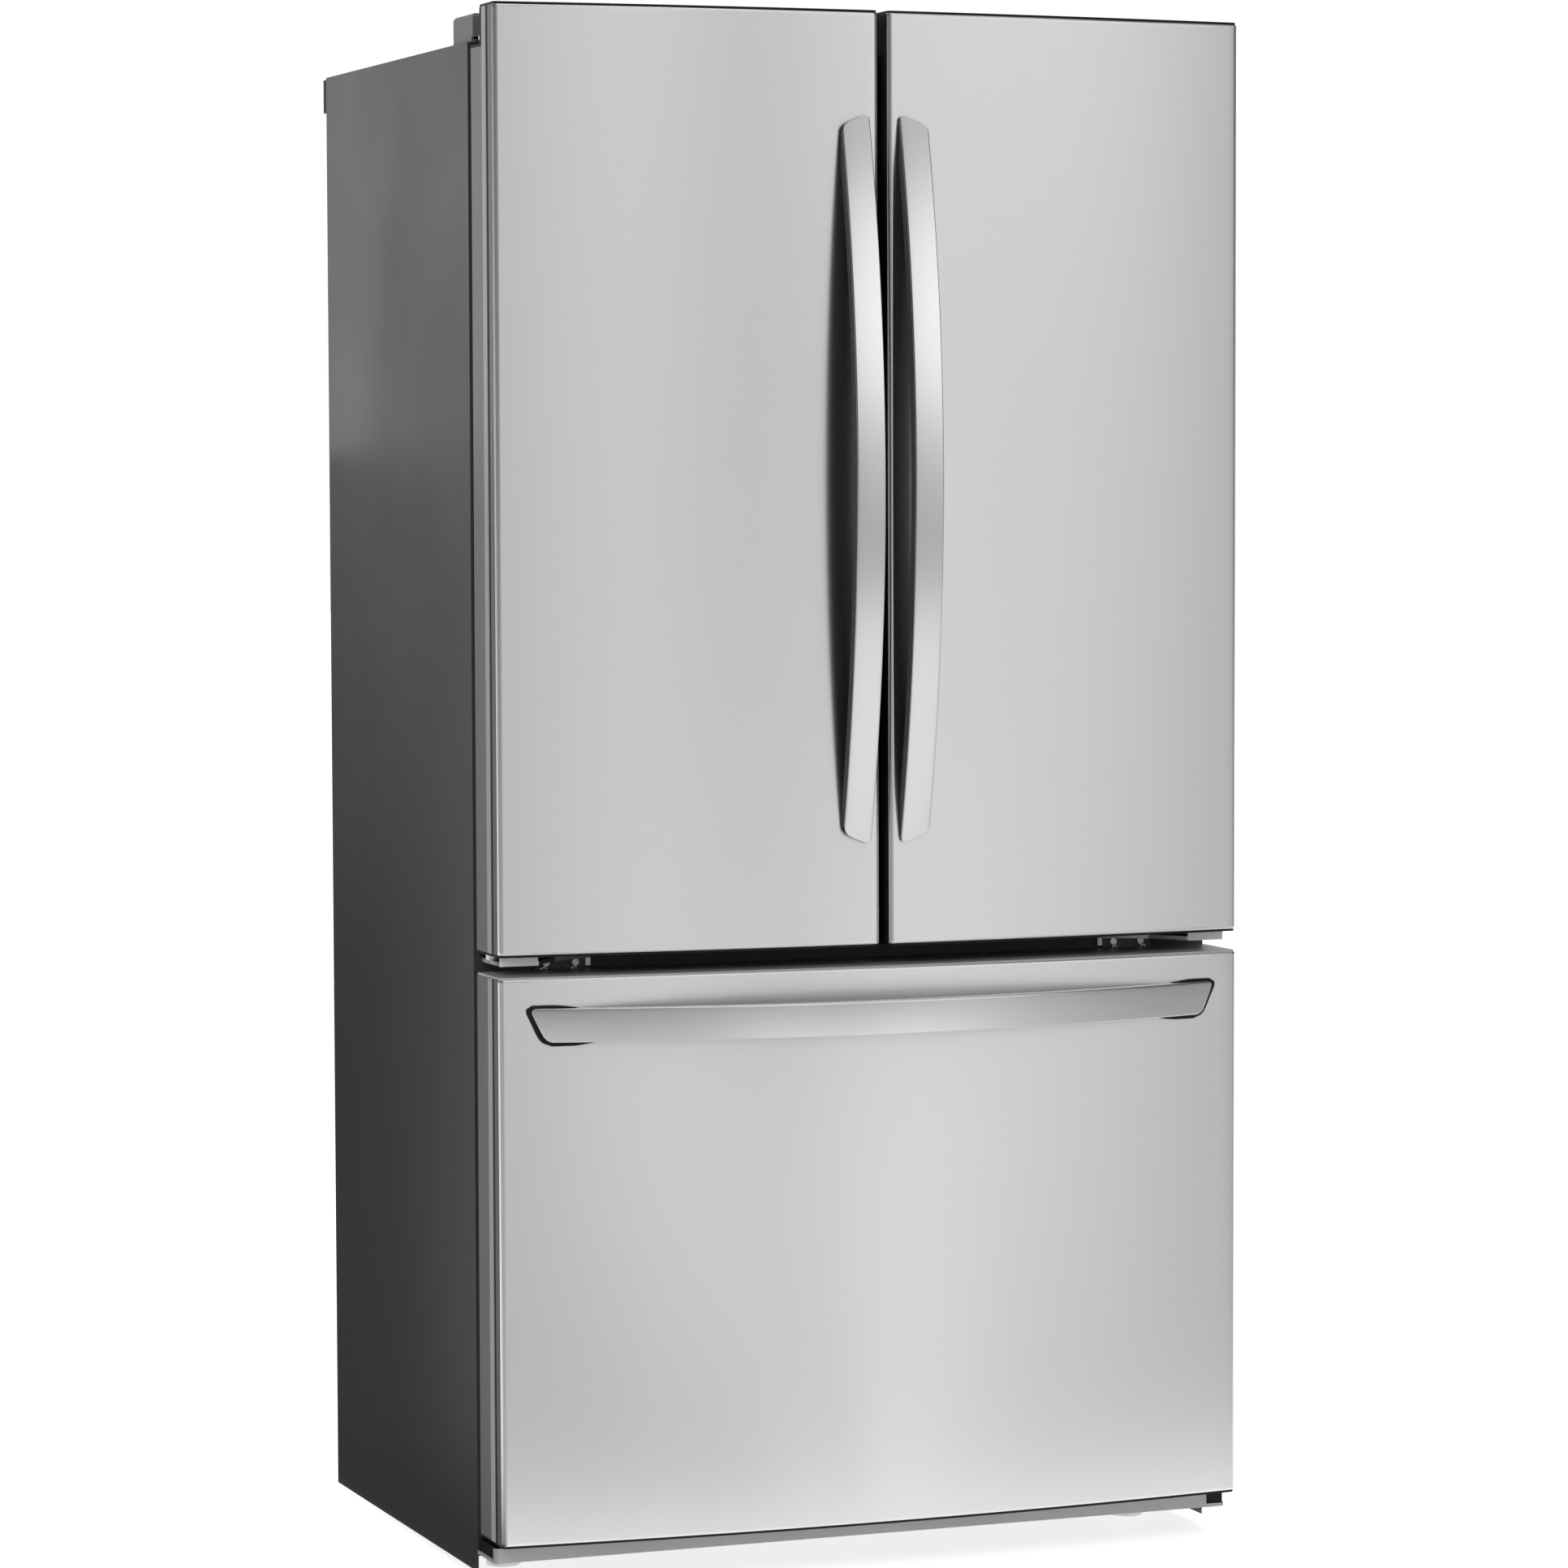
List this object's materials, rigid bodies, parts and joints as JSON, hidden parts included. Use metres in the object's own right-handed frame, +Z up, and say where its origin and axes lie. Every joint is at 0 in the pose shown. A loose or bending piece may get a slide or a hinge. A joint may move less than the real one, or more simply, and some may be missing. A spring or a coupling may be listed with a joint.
{
  "type": "french door refrigerator",
  "caption": "Counter-depth refrigerator with two side-by-side upper doors over a pull-out freezer drawer, bowed bar handles, shelves, bins and rear machine compartment.",
  "frame": {"origin": "on the floor, under the middle of the whole object's box", "axes": "+Z up, the doors face -Y, +X to the right of someone facing the doors"},
  "size_m": [0.908, 0.756, 1.779],
  "materials": {
    "stainless": "satin",
    "case_paint": "satin",
    "galvanised": "satin",
    "foam": "matte",
    "white_liner": "gloss",
    "white_plastic": "satin",
    "black_plastic": "matte",
    "grey_plastic": "satin",
    "door_edge": "satin",
    "gasket_rubber": "matte",
    "clear_plastic": "gloss",
    "shelf_glass": "gloss",
    "zinc_steel": "satin",
    "coil_metal": "satin",
    "compressor_paint": "satin",
    "lamp_lens": "gloss",
    "kick_grey": "satin"
  },
  "bodies": {
    "cabinet": {"left_side_panel": "case_paint", "right_side_panel": "case_paint", "top_and_back_panels": "case_paint", "chassis": "case_paint", "cabinet_foam": "foam", "fridge_liner": "white_liner", "freezer_liner": "white_liner", "rear_spacers": "black_plastic", "rear_cover": "galvanised", "cord_gland": "black_plastic", "hinges": "zinc_steel", "hinge_covers": "grey_plastic", "shelf_glass": "shelf_glass", "shelf_trims": "white_plastic", "shelf_supports": "zinc_steel", "air_covers": "white_plastic", "ceiling_light": "lamp_lens", "cabinet_rails": "zinc_steel", "underbody_brackets": "zinc_steel", "kick_plate": "kick_grey", "kick_ends": "black_plastic", "compressor": "compressor_paint", "condenser": "coil_metal", "fan_shroud": "black_plastic", "evaporator": "coil_metal"},
    "left_door": {"left_door_skin": "stainless", "left_door_foam": "foam", "left_door_frame": "door_edge", "left_door_liner": "white_liner", "left_door_gasket": "gasket_rubber", "left_door_bins": "clear_plastic", "dairy_bin": "white_plastic", "left_handle": "stainless"},
    "right_door": {"right_door_skin": "stainless", "right_door_foam": "foam", "right_door_frame": "door_edge", "right_door_liner": "white_liner", "right_door_gasket": "gasket_rubber", "right_door_bins": "clear_plastic", "right_handle": "stainless"},
    "dairy_lid": {"dairy_lid": "clear_plastic"},
    "mullion_flap": {"mullion_flap": "white_plastic"},
    "left_crisper": {"left_crisper": "clear_plastic"},
    "right_crisper": {"right_crisper": "clear_plastic"},
    "freezer_drawer": {"drawer_skin": "stainless", "drawer_foam": "foam", "drawer_frame": "door_edge", "drawer_liner": "white_liner", "drawer_gasket": "gasket_rubber", "drawer_handle": "stainless", "drawer_rails": "zinc_steel", "freezer_basket": "white_plastic"},
    "middle_rails": {"middle_rails": "zinc_steel"},
    "freezer_tray": {"freezer_tray": "white_plastic"},
    "left_leg": {"left_leg": "zinc_steel"},
    "right_leg": {"right_leg": "zinc_steel"},
    "left_roller": {"left_roller": "grey_plastic"},
    "right_roller": {"right_roller": "grey_plastic"},
    "condenser_fan": {"condenser_fan": "black_plastic"},
    "evaporator_fan": {"evaporator_fan": "white_plastic"}
  },
  "joints": [
    {"name": "left_door_hinge", "type": "hinge", "parent": "cabinet", "child": "left_door", "pos_m": [-0.44, -0.23955, 0.72], "axis": [0, 0, -1], "range_deg": [0, 110]},
    {"name": "right_door_hinge", "type": "hinge", "parent": "cabinet", "child": "right_door", "pos_m": [0.44, -0.23955, 0.72], "axis": [0, 0, 1], "range_deg": [0, 110]},
    {"name": "freezer_drawer_slide", "type": "slide", "parent": "cabinet", "child": "freezer_drawer", "axis": [0, -1, 0], "range_m": [0, 0.4]},
    {"name": "middle_rails_slide", "type": "slide", "parent": "cabinet", "child": "middle_rails", "axis": [0, -1, 0], "range_m": [0, 0.2]},
    {"name": "freezer_tray_slide", "type": "slide", "parent": "freezer_drawer", "child": "freezer_tray", "axis": [0, -1, 0], "range_m": [0, 0.1]},
    {"name": "left_crisper_slide", "type": "slide", "parent": "cabinet", "child": "left_crisper", "axis": [0, -1, 0], "range_m": [0, 0.16]},
    {"name": "right_crisper_slide", "type": "slide", "parent": "cabinet", "child": "right_crisper", "axis": [0, -1, 0], "range_m": [0, 0.16]},
    {"name": "dairy_lid_hinge", "type": "hinge", "parent": "left_door", "child": "dairy_lid", "pos_m": [-0.223, -0.13155, 1.624], "axis": [1, 0, 0], "range_deg": [0, 90]},
    {"name": "mullion_flap_hinge", "type": "hinge", "parent": "left_door", "child": "mullion_flap", "pos_m": [-0.032, -0.20005, 1.2145], "axis": [0, 0, -1], "range_deg": [0, 90]},
    {"name": "left_leg_turn", "type": "hinge", "parent": "cabinet", "child": "left_leg", "pos_m": [-0.395, -0.11905, 0.03], "axis": [0, 0, 1], "continuous": true},
    {"name": "right_leg_turn", "type": "hinge", "parent": "cabinet", "child": "right_leg", "pos_m": [0.395, -0.11905, 0.03], "axis": [0, 0, 1], "continuous": true},
    {"name": "left_roller_turn", "type": "hinge", "parent": "cabinet", "child": "left_roller", "pos_m": [-0.395, 0.29595, 0.024], "axis": [1, 0, 0], "continuous": true},
    {"name": "right_roller_turn", "type": "hinge", "parent": "cabinet", "child": "right_roller", "pos_m": [0.395, 0.29595, 0.024], "axis": [1, 0, 0], "continuous": true},
    {"name": "condenser_fan_turn", "type": "hinge", "parent": "cabinet", "child": "condenser_fan", "pos_m": [-0.06, 0.25345, 0.1562], "axis": [1, 0, 0], "continuous": true},
    {"name": "evaporator_fan_turn", "type": "hinge", "parent": "cabinet", "child": "evaporator_fan", "pos_m": [0, 0.27695, 0.57], "axis": [0, 1, 0], "continuous": true}
  ],
  "couplings": [
    {"joint": "middle_rails_slide", "follows": "freezer_drawer_slide", "ratio": 0.5},
    {"joint": "left_crisper_slide", "follows": "left_door_hinge", "m_per_rad": 0.083287},
    {"joint": "right_crisper_slide", "follows": "right_door_hinge", "m_per_rad": 0.083287}
  ]
}
